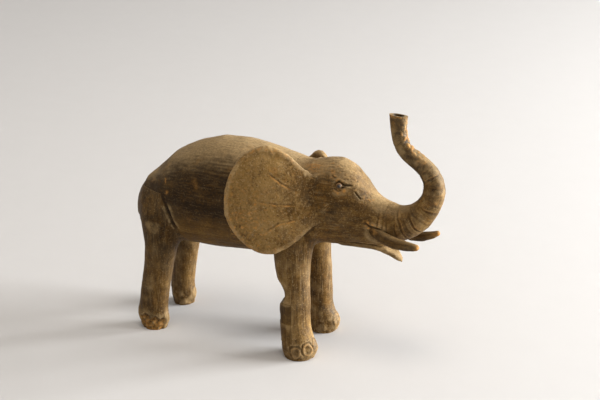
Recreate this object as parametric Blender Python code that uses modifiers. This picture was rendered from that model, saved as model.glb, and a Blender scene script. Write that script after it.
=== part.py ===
"""Carved wooden elephant with a raised trunk: a small figurine pegged together from carved pieces.

Frame: +X towards the head, +Y towards the elephant's left, +Z up.  The origin is on the ground, under
the middle of the figure.  Dimensions are in millimetres and become metres where vertices are made.
"""

import math

import bmesh
import bpy
from mathutils import Matrix, Vector

MM = 0.001
GAP = 0.3  # play between two pieces that touch
FAR = 120.0  # cutters reach this far past the figure

# ---------------------------------------------------------------- driving dimensions
FRONT_LEG_X = 15.5
REAR_LEG_X = -73.5
FOOT_Y = 18.0  # each foot's middle, left and right of the centre line
CORE_HALF = 7.0  # half thickness of the trunk block left between two opposite legs
SKIN_VOXEL = 2.2
SMOOTH_STEPS = 4
SKIN_SHARE = 0.22  # share of the blended skin's triangles that is kept
SOLE_BELOW = -6.0  # leg profiles reach below the ground, where the soles are already flat

# Barrel of the body: x, centre height, half width, half height
TORSO = (
    (-87.8, 69.5, 6.0, 7.5),
    (-86.0, 69.5, 13.0, 12.0),
    (-81.6, 70.3, 18.5, 16.0),
    (-75.0, 72.4, 22.5, 20.6),
    (-65.0, 76.8, 25.0, 25.7),
    (-52.0, 79.9, 26.5, 29.5),
    (-38.0, 81.9, 27.3, 31.6),
    (-24.0, 82.6, 27.3, 31.3),
    (-10.0, 82.2, 26.5, 29.6),
    (2.0, 82.0, 24.4, 27.5),
    (12.0, 82.4, 21.0, 25.2),
    (22.0, 84.0, 18.0, 22.6),
)

# Neck, skull, cheeks and the root of the trunk: same four values
HEAD = (
    (8.0, 83.0, 18.0, 23.0),
    (18.0, 85.2, 17.4, 23.2),
    (26.0, 86.6, 17.4, 23.8),
    (33.0, 87.2, 17.0, 23.9),
    (40.0, 85.9, 16.0, 22.4),
    (46.0, 82.6, 14.6, 18.4),
    (52.0, 79.2, 13.2, 14.4),
    (58.0, 78.3, 11.8, 12.3),
    (64.0, 79.2, 10.4, 10.4),
    (70.0, 80.8, 9.2, 9.2),
)

# Legs from the sole up: height, x offset from the foot, y, half length, half width
FRONT_LEG = (
    (-3.0, 0.5, FOOT_Y, 7.6, 7.6),
    (1.5, 0.8, FOOT_Y, 8.4, 8.2),
    (5.0, 1.0, FOOT_Y, 9.5, 9.0),
    (10.0, 0.0, FOOT_Y, 8.9, 8.6),
    (18.0, -1.3, FOOT_Y, 8.4, 8.2),
    (32.0, -1.6, 17.8, 8.5, 8.3),
    (46.0, -2.6, 17.4, 8.9, 8.8),
    (58.0, -3.6, 16.6, 10.4, 9.6),
    (72.0, -4.0, 13.6, 12.0, 9.6),
    (86.0, -4.0, 9.0, 10.0, 8.0),
)
REAR_LEG = (
    (-3.0, -0.6, FOOT_Y, 6.4, 6.8),
    (4.0, -0.6, FOOT_Y, 7.5, 7.8),
    (12.0, -1.2, FOOT_Y, 8.0, 8.2),
    (24.0, 0.4, FOOT_Y, 8.2, 8.2),
    (38.0, 3.0, 17.8, 8.2, 8.4),
    (52.0, 5.2, 17.6, 9.2, 9.2),
    (66.0, 4.8, 16.8, 11.4, 10.4),
    (80.0, 3.4, 13.0, 12.4, 9.4),
    (90.0, 3.6, 9.0, 9.0, 7.0),
)

LEFT_LEG_SLIM = 0.87  # the left legs are carved thinner
LEFT_LEG_BACK = 1.3  # and stand a little further back

# Trunk along its middle line: x, z, radius
TRUNK = (
    (62.3, 79.4, 10.6),
    (65.4, 79.4, 10.0),
    (69.0, 80.4, 9.3),
    (72.6, 82.0, 8.6),
    (77.6, 85.3, 7.5),
    (81.6, 90.1, 6.5),
    (84.5, 95.6, 5.9),
    (85.4, 100.8, 5.7),
    (84.8, 105.6, 5.2),
    (82.2, 110.2, 4.8),
    (78.6, 113.6, 4.4),
    (74.6, 116.2, 4.3),
    (70.8, 118.7, 4.2),
    (67.7, 121.7, 3.9),
    (65.8, 125.4, 3.7),
    (64.9, 129.8, 3.8),
    (64.6, 134.6, 4.2),
    (64.6, 140.0, 4.8),
)
TRUNK_JOINT_X = 62.0
NOSTRIL_RADIUS = 2.6
NOSTRIL_DEPTH = 3.0

# Tusks along their middle line: x, y, z, radius.  The left one hangs a little lower.
TUSK_RIGHT = (
    (54.0, -9.6, 78.2, 2.3),
    (58.0, -10.6, 76.4, 2.9),
    (63.0, -11.8, 74.4, 3.1),
    (69.0, -12.8, 73.2, 3.0),
    (75.0, -13.5, 73.0, 2.6),
    (80.0, -14.0, 73.2, 2.0),
    (82.6, -14.2, 73.5, 1.2),
)
TUSK_LEFT = (
    (54.0, 9.6, 77.4, 2.3),
    (58.0, 10.4, 74.6, 2.9),
    (63.0, 11.4, 71.2, 3.1),
    (69.0, 12.4, 68.6, 3.0),
    (75.0, 13.1, 68.6, 2.6),
    (80.5, 13.7, 70.2, 2.0),
    (84.0, 14.0, 72.0, 1.2),
)

# Lower jaw under the head, ending in a pointed lip: x, rim height, half width, depth
JAW_BACK_X = 36.0
JAW_RIM_Z = 67.5
JAW = (
    (JAW_BACK_X, 67.2, 9.8, 3.6),
    (44.0, 67.2, 9.0, 3.3),
    (52.0, 67.2, 7.9, 3.3),
    (58.0, 66.6, 6.6, 3.8),
    (62.5, 64.8, 5.0, 4.0),
    (66.0, 62.2, 3.2, 3.6),
    (68.6, 59.6, 1.1, 1.8),
)

# Ear outline as seen square on from the side: x, z.  The last four points are its tenon in the head.
EAR_OUTLINE = (
    (17.0, 107.6),
    (11.8, 113.5),
    (6.0, 118.0),
    (0.0, 120.2),
    (-6.5, 118.4),
    (-12.4, 113.3),
    (-16.6, 105.0),
    (-19.2, 95.0),
    (-19.4, 85.0),
    (-16.8, 77.0),
    (-10.8, 70.0),
    (-3.0, 64.8),
    (5.0, 63.2),
    (12.6, 66.2),
    (19.5, 71.8),
    (24.6, 78.2),
    (30.0, 84.0),
    (28.8, 92.0),
    (26.0, 99.0),
)
EAR_HUB = (3.0, 91.0)
EAR_ROOT = (21.5, 94.0)  # middle of the line where the ear leaves the head
EAR_ROOT_SLOPE = 0.30  # how far the root line leans forward for each millimetre down
EAR_ROOT_Y = 16.0
EAR_CURL = 16.0  # the ear swings out and straightens within about this length
EAR_THICKNESS = 3.2
EAR_LEAN_FROM = 102.0
EAR_LEAN = 0.22

EYE = (37.2, 13.3, 100.6)
EYE_RADIUS = 1.5

# Tail along the rump: x, z, radius
TAIL = (
    (-78.0, 87.4, 1.2),
    (-83.2, 82.0, 1.7),
    (-86.6, 76.0, 1.8),
    (-88.4, 69.5, 1.9),
    (-88.4, 63.5, 2.0),
    (-87.0, 58.4, 1.2),
)

# Joint planes
NECK_TOP = (8.0, 110.0)  # x and z of two points on the slanting neck joint
NECK_LOW = (20.0, 78.0)
NECK_CROWN = 150.0  # the neck cutter ends above the figure
HAUNCH_PROFILE = (
    (-110.0, SOLE_BELOW), (-110.0, 84.0), (-64.0, 84.0), (-57.0, 68.0), (-54.0, 58.0), (-52.0, 46.0),
    (-52.0, SOLE_BELOW),
)
SHOULDER_PROFILE = (
    (-6.0, SOLE_BELOW), (-4.0, 50.0), (0.0, 72.0), (20.0, 72.0), (30.0, 40.0), (40.0, SOLE_BELOW)
)
STRIP_LOW, STRIP_HIGH = 5.0, 31.0  # repair strip let into the back of the right front leg
STRIP_X, STRIP_Y = 15.0, 16.5
BITE = (3.6, -22.0, 38.0)  # middle and half sizes of the hollow where wood is missing above the strip
BITE_HALF = (8.2, 14.0, 7.8)

DOWEL_RADIUS = 3.0
NECK_DOWEL_LENGTH = 22.0
HIP_DOWEL = (-70.0, 72.0, 34.0)  # x, z, length
SHOULDER_DOWEL = (12.0, 65.5, 33.0)
TRUNK_DOWEL_LENGTH = 20.0
JAW_PEG = (47.0, 1.8, 6.0)  # x, radius, length

# ---------------------------------------------------------------- colours
WOOD = (0.127, 0.081, 0.042)
WOOD_LIGHT = (0.205, 0.135, 0.068)
WOOD_DARK = (0.056, 0.034, 0.018)
DOWEL_WOOD = (0.42, 0.28, 0.14)
EYE_BEAD = (0.02, 0.016, 0.012)


# ---------------------------------------------------------------- scene helpers
def clear_scene():
    for obj in list(bpy.data.objects):
        bpy.data.objects.remove(obj, do_unlink=True)


def new_collection(name):
    group = bpy.data.collections.new(name)
    bpy.context.scene.collection.children.link(group)
    return group


def wood_material(name, colour, roughness=0.6):
    mat = bpy.data.materials.new(name)
    mat.use_nodes = True
    shader = mat.node_tree.nodes["Principled BSDF"]
    shader.inputs["Base Color"].default_value = (*colour, 1.0)
    shader.inputs["Roughness"].default_value = roughness
    shader.inputs["Metallic"].default_value = 0.0
    mat.diffuse_color = (*colour, 1.0)
    return mat


def add_object(name, mesh, group, mat=None):
    obj = bpy.data.objects.new(name, mesh)
    group.objects.link(obj)
    if mat:
        mesh.materials.clear()
        mesh.materials.append(mat)
    mesh.shade_smooth()
    mesh.set_sharp_from_angle(angle=math.radians(45))
    return obj


def to_mesh(name, bm):
    """Finish a bmesh drawn in millimetres: faces outward, size in metres."""
    bmesh.ops.recalc_face_normals(bm, faces=bm.faces)
    bmesh.ops.scale(bm, vec=(MM, MM, MM), verts=bm.verts)
    mesh = bpy.data.meshes.new(name)
    bm.to_mesh(mesh)
    bm.free()
    return mesh


def evaluated_mesh(obj):
    depsgraph = bpy.context.evaluated_depsgraph_get()
    return bpy.data.meshes.new_from_object(obj.evaluated_get(depsgraph))


def boolean(obj, cutter, operation="DIFFERENCE"):
    modifier = obj.modifiers.new(cutter.name, "BOOLEAN")
    modifier.operation = operation
    modifier.object = cutter


# ---------------------------------------------------------------- shape helpers
def ring(bm, centre, side, up, half_side, half_up, count):
    """Points of an ellipse, counted round from the side direction."""
    turns = [2 * math.pi * i / count for i in range(count)]
    return [
        bm.verts.new(centre + side * half_side * math.cos(t) + up * half_up * math.sin(t)) for t in turns
    ]


def bridge(bm, rings):
    """Skin a row of equal rings and close both ends."""
    count = len(rings[0])
    for lower, upper in zip(rings, rings[1:]):
        for i in range(count):
            j = (i + 1) % count
            bm.faces.new((lower[i], lower[j], upper[j], upper[i]))
    bm.faces.new(rings[0][::-1])
    bm.faces.new(rings[-1])


def loft_along_x(bm, stations, count=32):
    side, up = Vector((0, 1, 0)), Vector((0, 0, 1))
    bridge(bm, [ring(bm, Vector((x, 0, z)), side, up, a, b, count) for x, z, a, b in stations])


def loft_leg(bm, stations, foot_x, hand, count=24):
    """A leg standing on foot_x; hand is -1 for the right side and 1 for the left."""
    side, up = Vector((1, 0, 0)), Vector((0, 1, 0))
    slim = LEFT_LEG_SLIM if hand > 0 else 1.0
    x = foot_x - (LEFT_LEG_BACK if hand > 0 else 0.0)
    rings = []
    for z, offset, y, half_length, half_width in stations:
        centre = Vector((x + offset, hand * y, z))
        rings.append(ring(bm, centre, side, up, half_length * slim, half_width * slim, count))
    bridge(bm, rings)


def tube(bm, points, radii, count=14):
    """A tapering tube whose rings stand square to its middle line."""
    rings = []
    for i, (point, radius) in enumerate(zip(points, radii)):
        ahead = points[min(i + 1, len(points) - 1)] - points[max(i - 1, 0)]
        side = Vector((0, 1, 0)) - ahead * (ahead.y / ahead.length_squared)
        side.normalize()
        rings.append(ring(bm, point, side, side.cross(ahead).normalized(), radius, radius, count))
    bridge(bm, rings)


def tube_mesh(name, stations, grow=0.0):
    """Tube through (x, y, z, radius) stations, its ends and radius grown by the given amount."""
    points = [Vector(station[:3]) for station in stations]
    points[0] += (points[0] - points[1]).normalized() * grow
    points[-1] += (points[-1] - points[-2]).normalized() * grow
    bm = bmesh.new()
    tube(bm, points, [station[3] + grow for station in stations])
    return to_mesh(name, bm)


def cylinder_mesh(name, centre, axis, radius, length):
    turn = Vector(axis).to_track_quat("Z", "Y").to_matrix().to_4x4()
    bm = bmesh.new()
    bmesh.ops.create_cone(
        bm, cap_ends=True, segments=20, radius1=radius, radius2=radius, depth=length,
        matrix=Matrix.Translation(centre) @ turn,
    )
    return to_mesh(name, bm)


def ellipsoid_mesh(name, centre, half_sizes):
    bm = bmesh.new()
    bmesh.ops.create_uvsphere(
        bm, u_segments=12, v_segments=8, radius=1.0,
        matrix=Matrix.Translation(centre) @ Matrix.Diagonal((*half_sizes, 1.0)),
    )
    return to_mesh(name, bm)


def grown(profile, amount):
    """A convex outline with every edge moved outwards by amount."""
    middle = sum((Vector(p) for p in profile), Vector((0, 0))) / len(profile)
    corners = []
    for i, here in enumerate(profile):
        here = Vector(here)
        before = (here - Vector(profile[i - 1])).normalized()
        after = (Vector(profile[(i + 1) % len(profile)]) - here).normalized()
        normals = [Vector((edge.y, -edge.x)) for edge in (before, after)]
        normals = [n if n.dot(here - middle) > 0 else -n for n in normals]
        bisector = (normals[0] + normals[1]).normalized()
        corners.append(here + bisector * amount / bisector.dot(normals[0]))
    return corners


def prism_mesh(name, profile, y_low, y_high):
    """An outline in the XZ plane pushed along Y."""
    bm = bmesh.new()
    ends = [[bm.verts.new((x, y, z)) for x, z in profile] for y in (y_low, y_high)]
    bridge(bm, ends)
    return to_mesh(name, bm)


def side_prism_mesh(name, profile, inner, hand):
    """A prism that starts at the distance inner from the centre line, on one side of the figure."""
    low, high = sorted((hand * inner, hand * FAR))
    return prism_mesh(name, profile, low, high)


# ---------------------------------------------------------------- the carved mass
def skin_mesh(cutters):
    """Body, head and legs blended into one smooth mass, from which the wooden pieces are divided."""
    bm = bmesh.new()
    loft_along_x(bm, TORSO)
    loft_along_x(bm, HEAD)
    for hand in (-1, 1):
        loft_leg(bm, FRONT_LEG, FRONT_LEG_X, hand)
        loft_leg(bm, REAR_LEG, REAR_LEG_X, hand)
    blend = add_object("carving_guide", to_mesh("carving_guide", bm), cutters)
    remesh = blend.modifiers.new("blend", "REMESH")
    remesh.mode = "VOXEL"
    remesh.voxel_size = SKIN_VOXEL * MM
    smooth = blend.modifiers.new("smooth", "SMOOTH")
    smooth.factor = 0.5
    smooth.iterations = SMOOTH_STEPS
    fewer = blend.modifiers.new("fewer", "DECIMATE")
    fewer.ratio = SKIN_SHARE
    fewer.use_collapse_triangulate = True
    mesh = evaluated_mesh(blend)
    bpy.data.objects.remove(blend, do_unlink=True)
    flatten_soles(mesh)
    return mesh


def flatten_soles(mesh):
    """Cut the mass off at the ground, leaving four flat soles."""
    bm = bmesh.new()
    bm.from_mesh(mesh)
    everything = bm.verts[:] + bm.edges[:] + bm.faces[:]
    bmesh.ops.bisect_plane(bm, geom=everything, plane_co=(0, 0, 0), plane_no=(0, 0, 1), clear_inner=True)
    bmesh.ops.holes_fill(bm, edges=[edge for edge in bm.edges if edge.is_boundary], sides=0)
    bm.to_mesh(mesh)
    bm.free()


def neck_profile(shift):
    """The half plane in front of the slanting neck joint, as a large outline; shift moves it forward."""
    lean = (NECK_LOW[0] - NECK_TOP[0]) / (NECK_LOW[1] - NECK_TOP[1])
    foot = NECK_TOP[0] - NECK_TOP[1] * lean + shift
    crown = foot + NECK_CROWN * lean
    return ((foot, 0.0), (crown, NECK_CROWN), (FAR, NECK_CROWN), (FAR, 0.0))


def neck_normal():
    along = Vector((NECK_LOW[0] - NECK_TOP[0], 0, NECK_LOW[1] - NECK_TOP[1])).normalized()
    return along.cross(Vector((0, -1, 0))).normalized()


# ---------------------------------------------------------------- ears
class Ear:
    """One ear: its hand, then how it is lowered, sized, flared and tilted forward from the outline."""

    def __init__(self, name, hand, drop, size, flare, tilt):
        self.name, self.hand, self.drop, self.flare = name, hand, drop, flare
        self.turn = Matrix.Rotation(math.radians(-tilt), 2) * size

    def place(self, x, z):
        """Point of the ear's middle surface over the outline point x, z."""
        root = EAR_ROOT[0] + (EAR_ROOT[1] - z) * EAR_ROOT_SLOPE
        out = root - x
        if out < 0:
            y = EAR_ROOT_Y + out * self.flare / EAR_CURL
        else:
            y = EAR_ROOT_Y + self.flare * (1 - math.exp(-out / EAR_CURL))
        y -= EAR_LEAN * max(0.0, z - EAR_LEAN_FROM)
        forward, up = self.turn @ (Vector((x, z)) - Vector(EAR_ROOT))
        return Vector((EAR_ROOT[0] + forward, self.hand * y, EAR_ROOT[1] + up - self.drop))

    def mesh(self, suffix, grow=0.0, turns=34, steps=4):
        """The leaf as a surface of nested outlines round a hub."""
        outline = closed_spline(EAR_OUTLINE, turns)
        bm = bmesh.new()
        hub = Vector(EAR_HUB)
        centre = bm.verts.new(self.place(*hub))
        rows = []
        for step in range(1, steps + 1):
            edge = [p + (p - hub).normalized() * grow for p in outline]
            rows.append([bm.verts.new(self.place(*(hub + (p - hub) * step / steps))) for p in edge])
        for i in range(turns):
            j = (i + 1) % turns
            bm.faces.new((centre, rows[0][i], rows[0][j]))
            for inner, outer in zip(rows, rows[1:]):
                bm.faces.new((inner[i], outer[i], outer[j], inner[j]))
        return to_mesh(self.name + suffix, bm)


def closed_spline(points, count):
    """Evenly numbered points on a smooth closed curve through the given ones (Catmull-Rom)."""
    points = [Vector(p) for p in points]
    total = len(points)
    found = []
    for k in range(count):
        place = k * total / count
        i = int(place)
        t = place - i
        p0, p1, p2, p3 = (points[(i + n) % total] for n in (-1, 0, 1, 2))
        found.append(
            0.5 * (2 * p1 + (p2 - p0) * t + (2 * p0 - 5 * p1 + 4 * p2 - p3) * t**2
                   + (3 * p1 - p0 - 3 * p2 + p3) * t**3)
        )
    return found


def thicken(obj, thickness):
    shell = obj.modifiers.new("thickness", "SOLIDIFY")
    shell.thickness = thickness * MM
    shell.offset = 0.0
    shell.use_even_offset = False


# ---------------------------------------------------------------- the pieces
class Builder:
    """Keeps the two collections and the materials, and makes the pieces one family at a time."""

    def __init__(self):
        self.parts = new_collection("carved_elephant")
        self.cutters = new_collection("cutters")
        self.wood = wood_material("carved_wood", WOOD)
        self.ear_wood = wood_material("ear_wood", WOOD_LIGHT)
        self.dark_wood = wood_material("strip_wood", WOOD_DARK)
        self.dowel_wood = wood_material("dowel_wood", DOWEL_WOOD, 0.7)
        self.bead = wood_material("eye_bead", EYE_BEAD, 0.3)
        self.skin = skin_mesh(self.cutters)

    def cutter(self, mesh):
        obj = add_object("cut_" + mesh.name, mesh, self.cutters)
        obj.hide_render = True
        obj.display_type = "WIRE"
        return obj

    def from_skin(self, name, mat):
        return add_object(name, self.skin.copy(), self.parts, mat)

    def carved_block(self):
        """Body and head, divided by the slanting neck joint."""
        body = self.from_skin("body", self.wood)
        head = self.from_skin("head", self.wood)
        boolean(body, self.cutter(prism_mesh("neck_front", neck_profile(-GAP / 2), -FAR, FAR)))
        face = self.cutter(prism_mesh("neck_head", neck_profile(GAP / 2), -FAR, FAR))
        boolean(head, face, "INTERSECT")
        ahead = ((TRUNK_JOINT_X, 0.0), (TRUNK_JOINT_X, FAR), (FAR, FAR), (FAR, 0.0))
        boolean(head, self.cutter(prism_mesh("trunk_face", ahead, -FAR, FAR)))
        under = ((JAW_BACK_X - GAP, 0.0), (JAW_BACK_X - GAP, JAW_RIM_Z), (FAR, JAW_RIM_Z), (FAR, 0.0))
        boolean(head, self.cutter(prism_mesh("jaw_seat", under, -FAR, FAR)))
        return body, head

    def legs(self, body):
        """Each leg with its haunch or shoulder, housed in a pocket in the side of the body."""
        legs = {}
        for place, profile in (("front", SHOULDER_PROFILE), ("rear", HAUNCH_PROFILE)):
            for side, hand in (("right", -1), ("left", 1)):
                name = f"leg_{place}_{side}"
                leg = self.from_skin(name, self.wood)
                shape = self.cutter(side_prism_mesh(name + "_shape", profile, CORE_HALF, hand))
                boolean(leg, shape, "INTERSECT")
                pocket = side_prism_mesh(name + "_pocket", grown(profile, GAP), CORE_HALF - GAP, hand)
                boolean(body, self.cutter(pocket))
                legs[place, side] = leg
        return legs

    def repair_strip(self, leg):
        """Strip let into the back of the right front leg, under the hollow where wood has broken out."""
        shoulder = self.cutter(side_prism_mesh("strip_leg", SHOULDER_PROFILE, CORE_HALF, -1))
        corners = ((-FAR, STRIP_LOW), (-FAR, STRIP_HIGH), (STRIP_X, STRIP_HIGH), (STRIP_X, STRIP_LOW))
        strip = self.from_skin("leg_front_right_strip", self.dark_wood)
        boolean(strip, shoulder, "INTERSECT")
        boolean(strip, self.cutter(side_prism_mesh("strip_shape", corners, STRIP_Y, -1)), "INTERSECT")
        seat = side_prism_mesh("strip_seat", grown(corners, GAP), STRIP_Y - GAP, -1)
        boolean(leg, self.cutter(seat))
        boolean(leg, self.cutter(ellipsoid_mesh("bite", BITE, BITE_HALF)))

    def trunk(self, head):
        points = [Vector((x, 0, z)) for x, z, _ in TRUNK]
        bm = bmesh.new()
        tube(bm, points, [radius for _, _, radius in TRUNK])
        trunk = add_object("trunk", to_mesh("trunk", bm), self.parts, self.wood)
        nostril = cylinder_mesh("nostril", points[-1], (0, 0, 1), NOSTRIL_RADIUS, 2 * NOSTRIL_DEPTH)
        boolean(trunk, self.cutter(nostril))
        centre = Vector((TRUNK_JOINT_X, 0, TRUNK[0][1] + 0.3))
        self.dowel("trunk_dowel", centre, (1, 0, 0), DOWEL_RADIUS, TRUNK_DOWEL_LENGTH, (head, trunk))
        return trunk

    def tusks(self, head, trunk):
        for name, stations in (("tusk_right", TUSK_RIGHT), ("tusk_left", TUSK_LEFT)):
            add_object(name, tube_mesh(name, stations), self.parts, self.wood)
            socket = self.cutter(tube_mesh(name + "_socket", stations, GAP))
            boolean(head, socket)
            boolean(trunk, socket)

    def jaw(self, head, count=16):
        """A trough with a flat rim, running out into the pointed lip."""
        rings = []
        bm = bmesh.new()
        for x, rim, half, depth in JAW:
            turns = [2 * math.pi * i / count for i in range(count)]
            rings.append(
                [bm.verts.new((x, half * math.cos(t), rim + depth * min(0.0, math.sin(t)))) for t in turns]
            )
        bridge(bm, rings)
        jaw = add_object("lower_jaw", to_mesh("lower_jaw", bm), self.parts, self.wood)
        x, radius, length = JAW_PEG
        self.dowel("jaw_peg", Vector((x, 0, JAW_RIM_Z)), (0, 0, 1), radius, length, (head, jaw))

    def ears(self, pieces):
        """The ears, each with a slot in the head and a hollow where it lies close to another piece."""
        ears = (
            Ear("ear_right", -1, drop=0.0, size=1.0, flare=19.0, tilt=0.0),
            Ear("ear_left", 1, drop=16.3, size=0.77, flare=20.0, tilt=22.0),
        )
        for ear in ears:
            leaf = add_object(ear.name, ear.mesh(""), self.parts, self.ear_wood)
            thicken(leaf, EAR_THICKNESS)
            slot = self.cutter(ear.mesh("_slot", GAP))
            thicken(slot, EAR_THICKNESS + 2 * GAP)
            for piece in pieces:
                boolean(piece, slot)

    def eyes(self, head):
        x, y, z = EYE
        for name, hand in (("eye_right", -1), ("eye_left", 1)):
            centre = (x, hand * y, z)
            add_object(name, ellipsoid_mesh(name, centre, [EYE_RADIUS] * 3), self.parts, self.bead)
            socket = ellipsoid_mesh(name + "_socket", centre, [EYE_RADIUS + GAP] * 3)
            boolean(head, self.cutter(socket))

    def tail(self, body):
        stations = [(x, 0.0, z, radius) for x, z, radius in TAIL]
        add_object("tail", tube_mesh("tail", stations), self.parts, self.wood)
        boolean(body, self.cutter(tube_mesh("tail_groove", stations, GAP)))

    def dowel(self, name, centre, axis, radius, length, pieces):
        """A round peg and the hole for it in each piece that it pins."""
        add_object(name, cylinder_mesh(name, centre, axis, radius, length), self.parts, self.dowel_wood)
        hole = self.cutter(cylinder_mesh(name + "_hole", centre, axis, radius + GAP, length + 2 * GAP))
        for piece in pieces:
            boolean(piece, hole)

    def body_dowels(self, body, head, legs):
        for name, (x, z, length), place in (
            ("hip_dowel", HIP_DOWEL, "rear"),
            ("shoulder_dowel", SHOULDER_DOWEL, "front"),
        ):
            pinned = (body, legs[place, "right"], legs[place, "left"])
            self.dowel(name, Vector((x, 0, z)), (0, 1, 0), DOWEL_RADIUS, length, pinned)
        top, low = Vector((NECK_TOP[0], 0, NECK_TOP[1])), Vector((NECK_LOW[0], 0, NECK_LOW[1]))
        for name, share in (("neck_dowel_upper", 0.35), ("neck_dowel_lower", 0.95)):
            centre = top.lerp(low, share)
            self.dowel(name, centre, neck_normal(), DOWEL_RADIUS, NECK_DOWEL_LENGTH, (body, head))


def main():
    clear_scene()
    build = Builder()
    body, head = build.carved_block()
    legs = build.legs(body)
    build.repair_strip(legs["front", "right"])
    trunk = build.trunk(head)
    build.tusks(head, trunk)
    build.jaw(head)
    build.ears((head, body, legs["front", "left"]))
    build.eyes(head)
    build.tail(body)
    build.body_dowels(body, head, legs)


main()
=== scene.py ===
"""Looks of the carved wooden elephant: its carved surface, its wood, and a small studio round it.

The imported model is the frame.  Its body, head, trunk, jaw, legs and ears are copied, fused into one
finely meshed skin, carved with creases, toenails and tool marks, and divided again along the CAD's own
joints, so each visible piece stands for one CAD node.  Sizes are in millimetres unless a name says
otherwise; meshes are in metres.
"""

import math

import bmesh
import bpy
import numpy as np
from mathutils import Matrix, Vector, noise


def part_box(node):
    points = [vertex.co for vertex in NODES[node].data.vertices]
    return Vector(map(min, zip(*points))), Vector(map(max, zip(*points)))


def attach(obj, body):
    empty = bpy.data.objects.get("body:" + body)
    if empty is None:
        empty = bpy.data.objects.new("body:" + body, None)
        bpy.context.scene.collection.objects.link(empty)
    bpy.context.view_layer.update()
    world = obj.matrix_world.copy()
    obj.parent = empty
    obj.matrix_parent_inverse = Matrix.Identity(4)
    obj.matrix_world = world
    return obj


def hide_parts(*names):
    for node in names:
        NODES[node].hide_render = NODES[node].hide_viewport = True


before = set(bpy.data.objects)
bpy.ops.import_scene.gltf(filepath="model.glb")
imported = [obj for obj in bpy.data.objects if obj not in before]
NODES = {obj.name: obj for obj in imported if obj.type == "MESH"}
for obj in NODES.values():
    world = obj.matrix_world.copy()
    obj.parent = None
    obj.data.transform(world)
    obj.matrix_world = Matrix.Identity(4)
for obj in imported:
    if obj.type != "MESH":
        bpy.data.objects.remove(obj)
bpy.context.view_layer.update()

MM = 0.001
HAIR = 0.05  # half of the hairline left between two pieces

# ---------------------------------------------------------------- joints, as the CAD source draws them
# Outlines in the XZ plane; the trunk's middle line runs from its joint to its open end.
FAR = 150.0
BELOW = -8.0
HAUNCH = ((-110, BELOW), (-110, 84), (-64, 84), (-57, 68), (-54, 58), (-52, 46), (-52, BELOW))
SHOULDER = ((-6, BELOW), (-4, 50), (0, 72), (20, 72), (30, 40), (40, BELOW))
NECK_TOP, NECK_LOW = (8.0, 110.0), (20.0, 78.0)
TRUNK_LINE = (
    (52.0, 79.4), (62.3, 79.4), (69.0, 80.4), (72.6, 82.0), (77.6, 85.3), (81.6, 90.1), (84.5, 95.6),
    (85.4, 100.8), (84.8, 105.6), (82.2, 110.2), (78.6, 113.6), (74.6, 116.2), (70.8, 118.7),
    (67.7, 121.7), (65.8, 125.4), (64.9, 129.8), (64.6, 134.6), (64.6, 140.0),
)


# ---------------------------------------------------------------- pieces of the skin
SKIN_NODES = (
    "body", "head", "trunk", "lower_jaw", "ear_right", "ear_left", "leg_front_right_strip",
    "leg_front_right", "leg_front_left", "leg_rear_right", "leg_rear_left",
)
DOWELS = (
    "hip_dowel", "shoulder_dowel", "neck_dowel_upper", "neck_dowel_lower", "trunk_dowel", "jaw_peg",
)
SKIN_VOXEL = 1.05
SKIN_GROW = 0.25  # closes the CAD's gaps before the pieces are fused
SMOOTH_PAIRS = 30
EAR_SEAM = 1.0  # the ear keeps this much of the fillet that joins it to the head

# ---------------------------------------------------------------- marks on the carving
TRUNK_RINGS = (  # length along the trunk's middle line, strength
    (6.5, 0.9), (9.0, 0.4), (11.2, 0.5), (15.3, 0.55), (18.5, 0.8), (21.4, 0.4), (25.0, 1.0), (28.6, 0.5),
    (31.2, 0.4), (35.0, 0.9), (39.4, 0.5), (43.0, 0.35), (47.2, 0.3), (52.0, 0.65), (56.5, 0.3), (61.0, 0.3),
    (68.5, 0.2), (77.0, 0.25),
)
FRONT_TOES = (  # turn from straight ahead on a right foot, height, swelling, how sharply the nail is cut
    (-76, 5.4, 0.7, 0.8), (-36, 6.8, 1.1, 1.0), (4, 7.6, 1.8, 0.5),
)
REAR_TOES = ((-4, 7.4, 1.5, 0.25), (-155, 8.8, 1.3, 0.0))
LAYERS = ("bare", "grime_and_shade", "proud")
EAR_VEINS = (  # shares of the ear's box: along its length and up its height
    ((0.460, 0.775), (0.590, 0.682), (0.742, 0.588)),
    ((0.375, 0.508), (0.545, 0.490), (0.725, 0.475)),
    ((0.475, 0.228), (0.596, 0.300), (0.760, 0.338)),
)

# ---------------------------------------------------------------- colours of the wood, and its grain
UMBER = (0.0200, 0.0088, 0.0010)
BROWN = (0.0920, 0.0450, 0.0080)
TAN = (0.2300, 0.1320, 0.0380)
GOLD = (0.4500, 0.2050, 0.0430)
AMBER = (0.2600, 0.1200, 0.0250)
# Pale dust, also used as painted light on what faces up.
PALE_DUST_AND_LIGHT = (0.4050, 0.2800, 0.1350)
# Dirt, also used as painted shade in hollows and cuts.
DIRT_AND_SHADE = (0.0120, 0.0058, 0.0014)
ALONG_X = (0.07, 1.0, 1.0)
ALONG_Z = (1.0, 1.0, 0.06)
EVERY_WAY = (0.6, 0.6, 0.6)

# ---------------------------------------------------------------- studio, in metres and watts
WINDOW = {"place": (1.38, 0.72, 0.34), "size": (1.0, 0.6), "power": 92.0, "colour": (0.96, 0.98, 1.0)}
LAMP = {"place": (0.12, -0.22, 1.25), "size": (0.5, 0.5), "power": 4.8, "colour": (1.0, 0.90, 0.78)}
AIM = (0.0, 0.0, 0.07)  # both lights point here
ROOM_COLOUR, ROOM_LIGHT = (1.0, 0.97, 0.94, 1.0), 0.56
PAPER = (0.56, 0.545, 0.53)
PAPER_HALF_WIDTH = 3.2
PAPER_FRONT, PAPER_BEND, PAPER_TOP = -1.6, 0.9, 2.6
BEND_RADIUS = 0.5
CAMERA_TURN, CAMERA_TILT = 24.7, 20.7  # degrees round from the side, and above the level
CAMERA_REACH = 1.0491
CAMERA_TARGET = (-0.0837, 0.2009, 0.0)
CAMERA_LENS, CAMERA_SENSOR = 90.0, 36.0  # millimetres


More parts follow.
